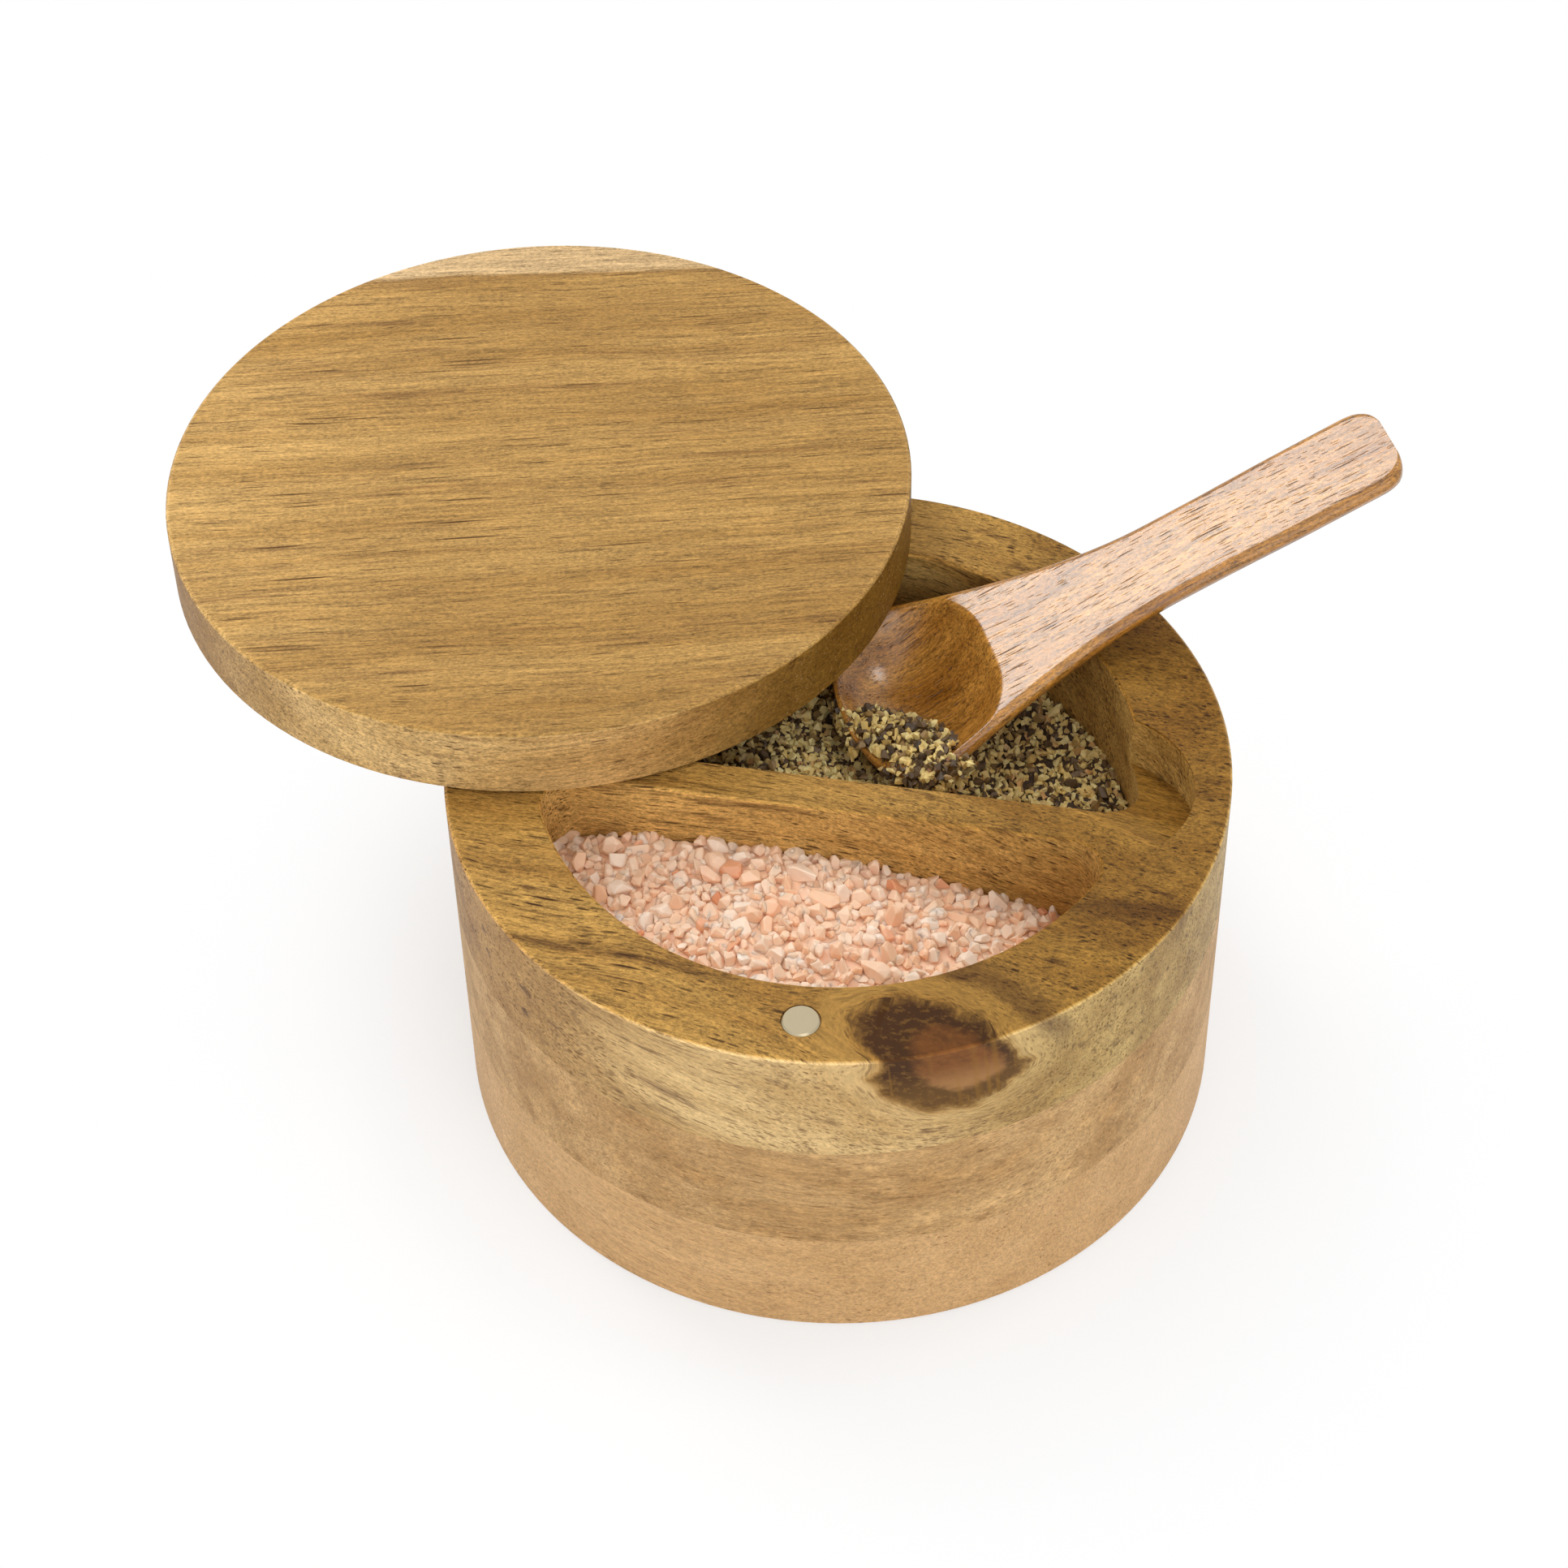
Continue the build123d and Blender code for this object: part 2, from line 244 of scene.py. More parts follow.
# %% Wood figure: bending the place
# how far a place is from the knot, 1 at its rim, with the lean of its branch and an uneven outline
branch_lean = 0.45
from_knot = vector("DIVIDE", vector("SUBTRACT", i["Place"], i["Knot"]), i["Knot Size"])
from_knot = vector("ADD", from_knot, point(g, X=times(g, split(g, from_knot)["Z"], branch_lean)))
uneven = minus(g, noise(g, from_knot, 1.1, 2.0), 0.5)
knot_range = plus(g, length(g, from_knot), times(g, uneven, 0.5))
# the grain moves aside, and less so further out
squared = number(g, "MAXIMUM", times(g, knot_range, knot_range), 1.0)
part_round = minus(g, 1.0, number(g, "DIVIDE", 0.97, squared))
squeeze = point(g, X=1.0, Y=part_round, Z=part_round)
bent = vector("MULTIPLY", vector("SUBTRACT", i["Place"], i["Knot"]), squeeze)
bent = vector("ADD", bent, i["Knot"])
# the dip and the wander
past = number(g, "MAXIMUM", minus(g, split(g, i["Place"])["X"], i["Dip Start"]), 0.0)
dip = times(g, past, past, i["Dip"])
slow = stretched(g, bent, (0.014, 0.02, 0.02), 3.0)
wander = times(g, minus(g, slow, 0.5), times(g, i["Wander"], 6.0))
bent = vector("ADD", bent, point(g, X=i["Shift"], Y=wander, Z=plus(g, dip, wander)))
print("bending uses", len(g.nodes), "nodes")

# %% [markdown]
# Feathery bands come from noise drawn out fifteen times along the grain, and growth rings from noise that
# depends only on the distance to the heart of the tree. Together they mix two tones of the same wood. Dark
# streaks are finer noise with a steep step. The sapwood is what lies past a line across the grain.

# %% Wood figure: bands, streaks and sapwood
feather = stretched(g, bent, (0.011, 0.17, 0.17), 5.0, 0.58)
ring = length(g, vector("MULTIPLY", vector("SUBTRACT", bent, i["Heart"]), (0.02, 1, 1)))
rings = add(g, "ShaderNodeTexNoise", {
    "W": number(g, "DIVIDE", ring, i["Band Width"]), "Scale": 1.0, "Detail": 4.0, "Roughness": 0.6},
    noise_dimensions="1D").outputs["Fac"]
cloud = stretched(g, bent, (0.014, 0.045, 0.045), 2.0)
tone = plus(g, times(g, feather, 0.5), times(g, rings, 0.25), times(g, cloud, 0.25))
tone = ramp(g, tone, minus(g, 0.5, i["Band Edge"]), plus(g, 0.5, i["Band Edge"]))
colour = mix(g, tone, i["Pale"], i["Deep"])
# dark feathery streaks, and hair-thin ones that lie in groups
streaky = ramp(g, stretched(g, bent, (0.02, 0.42, 0.42), 6.0, 0.68), 0.54, 0.72)
hair = ramp(g, stretched(g, bent, (0.045, 1.5, 1.5), 4.0, 0.7), 0.5, 0.72)
groups = ramp(g, stretched(g, bent, (0.02, 0.11, 0.11), 2.0), 0.4, 0.62)
streaky = number(g, "MAXIMUM", streaky, times(g, hair, groups))
colour = mix(g, times(g, streaky, i["Streaks"]), colour, i["Streak"])
# sapwood with a darker margin
beyond = plus(g, minus(g, split(g, bent)["Y"], i["Sap Line"]), times(g, minus(g, feather, 0.5), 9.0))
margin = times(g, ramp(g, beyond, -2.2, -0.3), ramp(g, beyond, 0.5, -0.2))
colour = mix(g, times(g, margin, 0.35), colour, i["Streak"])
colour = mix(g, ramp(g, beyond, -0.5, 0.9), colour, i["Sap"])
print("bands and streaks make it", len(g.nodes), "nodes")

# %% [markdown]
# Fibres and a sandy sparkle lighten and darken the wood a little, and clouds lift it where the fibres rise to
# the surface. Pores are the cut vessels of the tree: long thin cells, each with its own length and darkness.

# %% Wood figure: fibres and pores
contrast = 2.2
fibres = stretched(g, bent, (0.07, 1.5, 1.5), 4.0, 0.75)
sandy = stretched(g, bent, (1.3, 2.9, 2.9), 2.0, 0.8)
lines = plus(g, times(g, minus(g, fibres, 0.5), contrast), times(g, minus(g, sandy, 0.5), contrast))
mottle = ramp(g, stretched(g, i["Place"], (0.10, 0.16, 0.16), 3.0, 0.6), 0.45, 0.7)
ripple = ramp(g, stretched(g, i["Place"], (0.55, 0.09, 0.3), 3.0, 0.6), 0.35, 0.7)
lift = times(g, mottle, ripple, i["Mottle"])
colour = shaded(g, colour, plus(g, line(g, lines, i["Fibre"], 1.0), lift))


def pore_layer(long, gap, size, seed):
    """Cells stretched along the grain, dark at their hearts."""
    across = number(g, "DIVIDE", 1.0, gap)
    cells = point(g, X=number(g, "DIVIDE", 1.0, long), Y=across, Z=across)
    cells = vector("MULTIPLY", vector("ADD", bent, (seed, seed, seed)), cells)
    cell = add(g, "ShaderNodeTexVoronoi", {"Vector": cells, "Scale": 1.0, "Randomness": 1.0},
               voronoi_dimensions="3D").outputs
    own = add(g, "ShaderNodeSeparateColor", {0: cell["Color"]}).outputs
    reach = times(g, size, line(g, own["Red"], 0.8, 0.5))
    core = add(g, "ShaderNodeMapRange", {"Value": cell["Distance"], "From Min": reach,
                                         "From Max": times(g, reach, 0.55)}).outputs["Result"]
    return times(g, core, line(g, own["Green"], 0.7, 0.3))


patch = ramp(g, stretched(g, bent, (0.03, 0.25, 0.25), 3.0), 0.36, 0.6, 0.55, 1.15)
long_pores = pore_layer(i["Pore Length"], i["Pore Gap"], times(g, i["Pore Size"], patch), 0.0)
short_length, short_gap = times(g, i["Pore Length"], 0.35), times(g, i["Pore Gap"], 0.62)
short_pores = pore_layer(short_length, short_gap, i["Pore Size"], 37.0)
pores = times(g, number(g, "MAXIMUM", long_pores, times(g, short_pores, 0.85)), i["Pores"])
colour = mix(g, pores, colour, i["Pore"])
print("fibres and pores make it", len(g.nodes), "nodes")

# %% [markdown]
# A knot is the foot of a branch, cut across. It has a dark speckled body with a reddish brown heart, a golden
# ring round it, and a dark halo on the side where the branch leaned. Lower down the cut runs through its
# middle, so it is paler there.

# %% Wood figure: the knot
ragged = times(g, minus(g, noise(g, from_knot, 2.4, 4.0, 0.65), 0.5), 0.5)
rough_range = plus(g, knot_range, ragged)
knot_axes = split(g, from_knot)
below = ramp(g, knot_axes["Z"], 0.25, -0.5)
leaning = ramp(g, plus(g, knot_axes["X"], knot_axes["Y"]), 0.4, 1.6)
golden = times(g, ramp(g, knot_range, 1.02, 1.15), ramp(g, knot_range, 1.6, 1.35))
colour = mix(g, times(g, golden, line(g, below, -0.3, 0.45)), colour, i["Pale"])
halo = times(g, ramp(g, knot_range, 1.35, 1.6), ramp(g, knot_range, 2.1, 1.7), line(g, below, -0.8, 1.0))
colour = mix(g, times(g, halo, leaning, 0.6), colour, i["Streak"])
colour = mix(g, ramp(g, rough_range, 1.0, 0.85), colour, i["Deep"])
speckled = line(g, ramp(g, noise(g, from_knot, 9.0, 3.0, 0.7), 0.36, 0.5), 0.3, 0.7)
speckled = times(g, speckled, line(g, below, -0.25, 1.0))
body = times(g, ramp(g, rough_range, 1.1, 0.85), speckled, 0.97)
colour = mix(g, body, colour, rgb(62, 33, 6))
heart_range = plus(g, length(g, vector("SUBTRACT", from_knot, (0.3, -0.1, 0.05))), ragged)
heart = times(g, ramp(g, heart_range, 0.72, 0.45), ramp(g, rough_range, 0.95, 0.75), 0.92)
heart_colour = mix(g, noise(g, from_knot, 7.0, 4.0, 0.7), rgb(82, 44, 14), rgb(150, 94, 42))
heart_colour = mix(g, times(g, below, 0.75), heart_colour, rgb(178, 130, 78))
colour = mix(g, heart, colour, heart_colour)
g.links.new(colour, o["Color"])
g.links.new(pores, o["Pore Mask"])
g.links.new(minus(g, times(g, fibres, 0.5), pores), o["Height"])
g.links.new(ramp(g, rough_range, 1.2, 0.9), o["Knot Mask"])
print("wood group has", len(g.nodes), "nodes")

# %% [markdown]
# Each board was cut from another place in a tree and lies at its own angle, so a mapping node turns the
# object's coordinates, changed to millimetres, until X runs along that board's grain. Rim and lid are oiled
# and sanded fine, which leaves a satin sheen; the pores are dull and slightly sunk.


# %% Wood materials
def wood(name, turn, slope=0.0, roughness=0.45, relief=0.03, knot_at=None, **values):
    """A wooden material whose grain runs at an angle in the plan and rises by a slope."""
    material, tree, shader = new_material(name)
    flat = -math.radians(turn)
    place = add(tree, "ShaderNodeMapping", {"Vector": object_place(tree), "Scale": (1000, 1000, 1000),
                                            "Rotation": (0, 0, flat)}).outputs[0]
    if slope:
        upright = (0, math.radians(slope), 0)
        place = add(tree, "ShaderNodeMapping", {"Vector": place, "Rotation": upright}).outputs[0]
    grain = tree.nodes.new("ShaderNodeGroup")
    grain.node_tree = figure
    tree.links.new(place, grain.inputs["Place"])
    for label, value in values.items():
        grain.inputs[label.replace("_", " ").title()].default_value = value
    if knot_at:
        grain.inputs["Knot"].default_value = Matrix.Rotation(flat, 3, "Z") @ Vector(knot_at)
    given = grain.outputs
    bump = add(tree, "ShaderNodeBump", {"Strength": 0.6, "Distance": relief * MM, "Height": given["Height"]})
    tree.links.new(given["Color"], shader.inputs["Base Color"])
    tree.links.new(line(tree, given["Pore Mask"], 0.3, roughness), shader.inputs["Roughness"])
    tree.links.new(bump.outputs[0], shader.inputs["Normal"])
    shader.inputs["Specular IOR Level"].default_value = 0.14
    return material, grain


def dress(node, material):
    """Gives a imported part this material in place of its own."""
    nodes[node].data.materials.clear()
    nodes[node].data.materials.append(material)


lid_wood, lid_grain = wood(
    "lid_wood", 10.5, roughness=0.5, shift=31.0, heart=(0, -40, 140), band_width=11, band_edge=0.2,
    wander=0.9, pale=rgb(186, 146, 84), deep=rgb(155, 115, 57), streak=rgb(112, 76, 40), streaks=0.7,
    fibre=0.85, mottle=0.05, sap=rgb(200, 167, 120), sap_line=113.0, pore_length=26, pore_gap=0.8,
    pore_size=0.23, pores=0.95, pore=rgb(70, 44, 22))
top_wood, top_grain = wood(
    "top_board_wood", -10.5, heart=(0, 40, -55), band_width=7, band_edge=0.13, wander=2.2,
    pale=rgb(184, 142, 73), deep=rgb(153, 111, 50), streak=rgb(86, 54, 24), streaks=0.9, mottle=0.1,
    dip=0.0024, dip_start=-22.0, pore_length=8, pore_gap=0.66, pore_size=0.33, pores=1.0,
    pore=rgb(62, 38, 18), knot_at=(21.6, -57.6, 61.0), knot_size=(12.2, 9.2, 9.2))
middle_wood, _ = wood(
    "middle_board_wood", 4, roughness=0.5, shift=60.0, heart=(0, 70, -12), band_width=9, band_edge=0.18,
    wander=2.5, pale=rgb(208, 170, 118), deep=rgb(170, 130, 80), streak=rgb(136, 98, 56), streaks=0.7,
    fibre=0.55, mottle=0.3, pore_length=5, pore_gap=0.7, pore_size=0.26, pores=0.6, pore=rgb(104, 70, 40))
bottom_wood, _ = wood(
    "bottom_board_wood", -20, roughness=0.5, shift=17.0, heart=(0, 30, -30), band_width=10, band_edge=0.25,
    wander=1.5, pale=rgb(214, 174, 124), deep=rgb(194, 153, 102), streak=rgb(166, 124, 78), streaks=0.3,
    fibre=0.45, mottle=0.1, pore_length=6, pore_gap=0.75, pore_size=0.24, pores=0.65, pore=rgb(116, 76, 42))
for node, material in (("lid", lid_wood), ("top_board", top_wood), ("middle_board", middle_wood),
                       ("bottom_board", bottom_wood)):
    dress(node, material)
print("dressed the box and the lid in wood")

# %% [markdown]
# Colour also depends on the place on the piece. The upper board's outer side was sanded after oiling, so it
# is paler than the rim, pinkish at the left and greyish at the right. Heartwood makes the board deeper to the
# right, and its darkest lines lie beside the salt. The walls cut into the board are made lighter where they
# lie in shade, as painted light, and the edges round them and the bevel over the side carry a painted
# highlight.


# %% Shades of the upper board
def around(tree, x, y):
    """Distances to the right of and behind an axis, the height, and the distance from the axis."""
    place = split(tree, object_place(tree))
    off_x, off_y = minus(tree, place["X"], x), minus(tree, place["Y"], y)
    radius = number(tree, "SQRT", plus(tree, times(tree, off_x, off_x), times(tree, off_y, off_y)))
    return off_x, off_y, place["Z"], radius


def outer_side(tree, radius, height, top):
    """Masks of a disc's outer side and of the small bevel over it, where a highlight is painted, for places
    given in metres.
    """
    inside, below = minus(tree, DISC_RADIUS, radius), minus(tree, top, height)
    side = times(tree, ramp(tree, inside, 0.7 * MM, 0.3 * MM), ramp(tree, below, 0.1 * MM, 0.5 * MM))
    bevel = times(tree, ramp(tree, inside, 0.8 * MM, 0.5 * MM), ramp(tree, below, 0.6 * MM, 0.3 * MM))
    return side, bevel


DISC_RADIUS, RIM_TOP = 63.5 * MM, 66 * MM
tree = top_wood.node_tree
given = top_grain.outputs
across, deep, height, radius = around(tree, 0, 0)
side, bevel = outer_side(tree, radius, height, RIM_TOP)
tree.links.new(ramp(tree, side, 0.0, 1.0, 0.9, 0.5), top_grain.inputs["Fibre"])
colour = mix(tree, times(tree, given["Pore Mask"], side, 0.6), given["Color"], rgb(148, 107, 50))
# painted light on the milled walls, deeper heartwood to the right, and a painted highlight on the edge between
# a wall and the rim
facing = split(tree, add(tree, "ShaderNodeNewGeometry").outputs["Normal"])["Z"]
below = minus(tree, RIM_TOP, height)
painted_wall_light = times(tree, ramp(tree, radius, 0.0624, 0.062), ramp(tree, below, 0.2 * MM, 0.7 * MM),
               ramp(tree, facing, 0.9, 0.5))
deeper = times(tree, ramp(tree, across, 0.0, 0.046), minus(tree, 1.0, side),
               ramp(tree, deep, 0.08, 0.02, 0.5, 1.0), line(tree, painted_wall_light, -0.6, 1.0))
colour = tint(tree, deeper, colour, (0.64, 0.58, 0.42, 1))
# painted light: the walls are made paler where they lie in shade
colour = tint(tree, painted_wall_light, colour, (1.45, 1.62, 2.1, 1))
# painted highlight: a light band along the top edge of each wall
painted_edge_highlight = times(tree, ramp(tree, below, 0.8 * MM, 0.5 * MM), ramp(tree, below, 0.04 * MM, 0.2 * MM), 0.7)
colour = tint(tree, painted_edge_highlight, colour, (1.5, 1.5, 1.5, 1))
# the dark lines beside the salt
place = add(tree, "ShaderNodeVectorMath", {0: object_place(tree), 1: (0.047, -0.0292, 0.066)},
            operation="SUBTRACT").outputs[0]
place = add(tree, "ShaderNodeMapping", {"Vector": place, "Rotation": (0, 0, 0.15),
                                        "Scale": (80, 420, 125)}).outputs[0]
beside = plus(tree, length(tree, place), times(tree, noise(tree, place, 1.3, 4.0, 0.65), 1.4))
colour = tint(tree, ramp(tree, beside, 2.0, 1.1, 0.0, 0.85), colour, (0.48, 0.43, 0.42, 1))
# the sanded side, and a painted highlight on the bevel, both outside the knot
shade = mix(tree, ramp(tree, across, -0.05, -0.01), (1.0, 1.0, 1.3, 1), (1.57, 1.94, 3.6, 1))
shade = mix(tree, ramp(tree, across, 0.015, 0.045), shade, (1.12, 1.35, 2.0, 1))
outside_knot = line(tree, given["Knot Mask"], -0.95, 1.0)
colour = tint(tree, times(tree, side, outside_knot), colour, shade)
# painted highlight on the bevel
colour = tint(tree, times(tree, bevel, outside_knot, 0.28), colour, (1.35, 1.4, 1.5, 1))
tree.links.new(colour, tree.nodes["Principled BSDF"].inputs["Base Color"])
print("shaded the upper board with", len(tree.nodes), "nodes")

# %% [markdown]
# Both ends of the lid's side are made darker, as painted shade, and at the right its end-grain pores show as
# pale dots. The front of the side is pale like the box, and the bevel round it carries a painted highlight.

# %% Shades of the lid
LID_CENTRE, LID_TOP = (-0.05599, 0.04903), 79.2 * MM
tree = lid_wood.node_tree
given = lid_grain.outputs
across, _, height, radius = around(tree, *LID_CENTRE)
side, bevel = outer_side(tree, radius, height, LID_TOP)
shaded_right_end = times(tree, side, ramp(tree, across, 0.02, 0.06))
shaded_left_end = times(tree, side, ramp(tree, across, -0.02, -0.06))
front = times(tree, side, minus(tree, 1.0, ramp(tree, across, 0.01, 0.05)))
colour = tint(tree, front, given["Color"], (1.42, 1.6, 2.15, 1))
# painted shade: both ends of the side are darkened
colour = tint(tree, shaded_left_end, colour, (0.43, 0.34, 0.23, 1))
colour = tint(tree, shaded_right_end, colour, (0.46, 0.4, 0.16, 1))
colour = tint(tree, ramp(tree, across, -0.01, -0.06), colour, (1.25, 1.3, 1.42, 1))
colour = mix(tree, times(tree, given["Pore Mask"], shaded_right_end), colour, rgb(196, 158, 98))
# painted highlight on the bevel
colour = tint(tree, times(tree, bevel, 0.7), colour, (1.3, 1.35, 1.45, 1))
tree.links.new(colour, tree.nodes["Principled BSDF"].inputs["Base Color"])
print("shaded the lid with", len(tree.nodes), "nodes")

# %% [markdown]
# The spoon is carved from one piece: a flat handle with rounded edges that widens into a bowl. Its outline is
# worked out first, in millimetres from a point on its axis: half its width, its thickness, and the height of
# its upper face. The hollow is the lower part of a round-ended roll; where it meets the flat top, the two
# heights blend over a millimetre, as sandpaper leaves a crease.

# %% The spoon's outline
HANDLE, BOWL = 58.5, 43.5
NECK_HALF, WIDENING, BOWL_HALF = 8.45, 10.35, 18.8
HANDLE_DEPTH, BOWL_DEPTH = 5, 9.5
HOLLOW_X, HOLLOW_Z, HOLLOW_R, HOLLOW_SHIFT = -29.2, 10.3385, 15.7687, 3.9
CREASE = 1.0


def blend(value, low, high):
    """Smooth step from 0 at low to 1 at high."""
    t = min(max((value - low) / (high - low), 0), 1)
    return t * t * (3 - 2 * t)


def spoon_half(x):
    """Half the width: a handle with a round end, a widening neck, a round bowl."""
    middle, widest, end_round = 0.38 * HANDLE, -0.72 * BOWL, 7
    if x > middle:
        past = max(0, (x - HANDLE + end_round) / end_round)
        return (NECK_HALF + 0.25 * blend(x, middle, 0.7 * HANDLE)) * (1 - past ** 3.2) ** (1 / 3.2)
    if x > widest:
        t = (middle - x) / (middle - widest)
        return NECK_HALF + WIDENING * (0.35 * t ** 4 + 0.65 * blend(t, 0.12, 1.12)) / 0.974
    return BOWL_HALF * (1 - ((widest - x) / (BOWL + widest)) ** 2.4) ** (1 / 2.4)


def spoon_depth(x):
    """Thickness, which grows from the handle to the bowl and lessens at both ends."""
    centre, end_round = 0.66 * BOWL, 4
    if x > -centre:
        past = max(0, (x - HANDLE + end_round) / end_round)
        growth = (BOWL_DEPTH - HANDLE_DEPTH) * blend(-x, -0.2 * BOWL, centre)
        return (HANDLE_DEPTH + growth) * math.sqrt(1 - 0.8 * past ** 2)
    return BOWL_DEPTH * math.sqrt(1 - 0.86 * ((-x - centre) / (BOWL - centre)) ** 2)


def spoon_top(x):
    """Height of the flat top, which curls up a little towards the bowl."""
    return 0.00065 * max(0, 15 - x) ** 2


def hollow_height(x, y):
    """Height of the hollow's surface, or a large one outside it."""
    flat = (x - HOLLOW_X) ** 2 + max(0, abs(y) - HOLLOW_SHIFT) ** 2
    return HOLLOW_Z - math.sqrt(HOLLOW_R ** 2 - flat) if flat < HOLLOW_R ** 2 else 99


def upper_height(x, y):
    """Height of the spoon's upper face with its hollow and a softened crease."""
    top, hollow = spoon_top(x), hollow_height(x, y)
    h = min(max(0.5 + 0.5 * (hollow - top) / CREASE, 0), 1)
    return hollow * (1 - h) + top * h - CREASE * h * (1 - h)


print("bowl is", round(2 * spoon_half(-0.72 * BOWL), 1), "mm wide")

# %% [markdown]
# The surface is drawn as rings of points at many stations along the axis. Each ring runs over the top, round
# an edge, under the crowned back and round the other edge. The stations lie closer together at both ends,
# where the outline turns fast. A matrix then lays the spoon on the rim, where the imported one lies.

# %% The spoon's surface
EDGE, DROP, INSET = 1.5, 2.75, 0.45
TOP_POINTS, EDGE_POINTS, BACK_POINTS = 96, 6, 35
STATIONS, MID, REACH, LAST_REACH = 300, 7.45, 50.85, 50.83
SPOON_AT = Matrix(((0.85056, -0.390404, -0.35232, 36.6901), (0.333332, 0.918435, -0.212994, 32.1757),
                   (0.406737, 0.063726, 0.91132, 72.4791), (0, 0, 0, 1)))


def make_mesh(shape, name):
    """A mesh of what has been built so far."""
    mesh = bpy.data.meshes.new(name)
    shape.to_mesh(mesh)
    return mesh


def spoon_ring(x):
    """Points across the spoon at one station. Where it is thin or narrow, its edges are rounded less."""
    half, top, depth = spoon_half(x), spoon_top(x), spoon_depth(x)
    share = min(1, 0.6 * depth / DROP, 0.5 * half / 1.15)
    edge, corner, crown = EDGE * share, half - INSET * share, depth - DROP * share
    bend = (corner ** 2 + crown ** 2) / (2 * crown)
    spread = math.asin(corner / bend)
    over = [(half - edge) * (2 * k / (TOP_POINTS - 1) - 1) for k in range(TOP_POINTS)]
    turns = [math.pi / 2 * k / EDGE_POINTS for k in range(1, EDGE_POINTS + 1)]
    swings = [spread * (1 - 2 * k / (BACK_POINTS - 1)) for k in range(BACK_POINTS)]
    arc = [(half - edge * (1 - math.sin(a)), top - edge * (1 - math.cos(a))) for a in turns]
    back = [(bend * math.sin(a), top - depth + bend * (1 - math.cos(a))) for a in swings]
    return [(y, upper_height(x, y)) for y in over] + arc + back + [(-y, z) for y, z in reversed(arc)]


stations = [MID + REACH * math.cos(math.pi * k / STATIONS) for k in range(STATIONS + 1)]
stations[-1] = MID - LAST_REACH
carved = bmesh.new()
rings = [[carved.verts.new(SPOON_AT @ Vector((x, y, z)) * MM) for y, z in spoon_ring(x)] for x in stations]
for one, two in zip(rings, rings[1:]):
    for k in range(len(one)):
        last = (k + 1) % len(one)
        carved.faces.new((one[k], one[last], two[last], two[k]))
carved.faces.new(rings[0])
carved.faces.new(reversed(rings[-1]))
bmesh.ops.recalc_face_normals(carved, faces=carved.faces)
for face in carved.faces:
    face.smooth = True
spoon_mesh = make_mesh(carved, "spoon_carved")
carved.free()
spoon = put("spoon_carved", spoon_mesh)
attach(spoon, "spoon")
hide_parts("spoon")
print("spoon has", len(spoon_mesh.polygons), "faces")

# %% [markdown]
# The spoon is lacquered over open grain. The film follows the ridges of the grain, so the light that falls on
# the handle breaks into fine bright lines, and it sinks into the pores, which stay dull. One glossy layer
# whose normal follows the grain gives that, with less roughness than the oiled boards and more relief.

# %% The spoon's lacquer
spoon_wood, _ = wood(
    "spoon_wood", 21.4, slope=24, roughness=0.17, relief=0.13, shift=5.0, heart=(0, 12, -20), band_width=4,
    band_edge=0.16, wander=1.2, pale=rgb(194, 138, 62), deep=rgb(146, 92, 30), streak=rgb(98, 58, 22),
    streaks=0.85, fibre=1.1, mottle=0.05, pore_length=13, pore_gap=0.5, pore_size=0.24, pores=1.0,
    pore=rgb(64, 34, 12))
shader = spoon_wood.node_tree.nodes["Principled BSDF"]
shader.inputs["Specular IOR Level"].default_value = 0.6
spoon_mesh.materials.append(spoon_wood)
dress("spoon", spoon_wood)
print("lacquered the spoon")

# %% [markdown]
# The magnets are nickel-plated discs and the pin is plain steel. Plating looks soft rather than
# mirror-bright, because fine scratches from handling blur it, so noise changes the roughness and the tone a
# little.


# %% Metals
def metal(name, colour, roughness):
    """A metal that is duller and darker where it is worn."""
    material, tree, shader = new_material(name)
    swing, worn = 0.22, 0.82
    place = object_place(tree)
    haze, scratch = noise(tree, place, 900.0, 4.0, 0.6), stretched(tree, place, (4000, 600, 4000))
    wear = plus(tree, times(tree, haze, 0.5), times(tree, scratch, 0.5))
    darker = tuple(c * worn for c in colour[:3]) + (1,)
    tree.links.new(line(tree, wear, swing, roughness - swing / 2), shader.inputs["Roughness"])
    tree.links.new(mix(tree, wear, colour, darker), shader.inputs["Base Color"])
    shader.inputs["Metallic"].default_value = 1.0
    return material


nickel = metal("magnet_nickel", rgb(190, 176, 146), 0.3)
steel = metal("pin_steel", rgb(196, 196, 194), 0.38)
for node, material in (("box_magnet", nickel), ("lid_magnet", nickel), ("pivot_pin", steel)):
    dress(node, material)
print("dressed the metal parts")

# %% [markdown]
# Salt is a heap of loose crystals. Modelling each by hand is out of the question, so Geometry Nodes scatter a
# few broken shapes over the heap's surface, each turned, sized and tinted at random but from a fixed seed.
# Under them lies a closed bed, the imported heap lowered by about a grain's depth, so no gap shows through.


# %% Bed, surface and shapes of a heap
def heap_copy(node, lower, material):
    """A packed heap's bed, with its upper face lowered, and that face as a surface of its own."""
    steepest = 0.25
    mesh = bmesh.new()
    mesh.from_mesh(nodes[node].data)
    bmesh.ops.remove_doubles(mesh, verts=mesh.verts, dist=1e-6)
    mesh.normal_update()
    upward = {f for f in mesh.faces if f.normal.z > steepest}
    for vert in {v for f in upward for v in f.verts}:
        vert.co.z -= lower
    bed = make_mesh(mesh, node + "_bed")
    bed.materials.append(material)
    bmesh.ops.delete(mesh, geom=[f for f in mesh.faces if f not in upward], context="FACES")
    surface = make_mesh(mesh, node + "_surface")
    mesh.free()
    return bed, surface


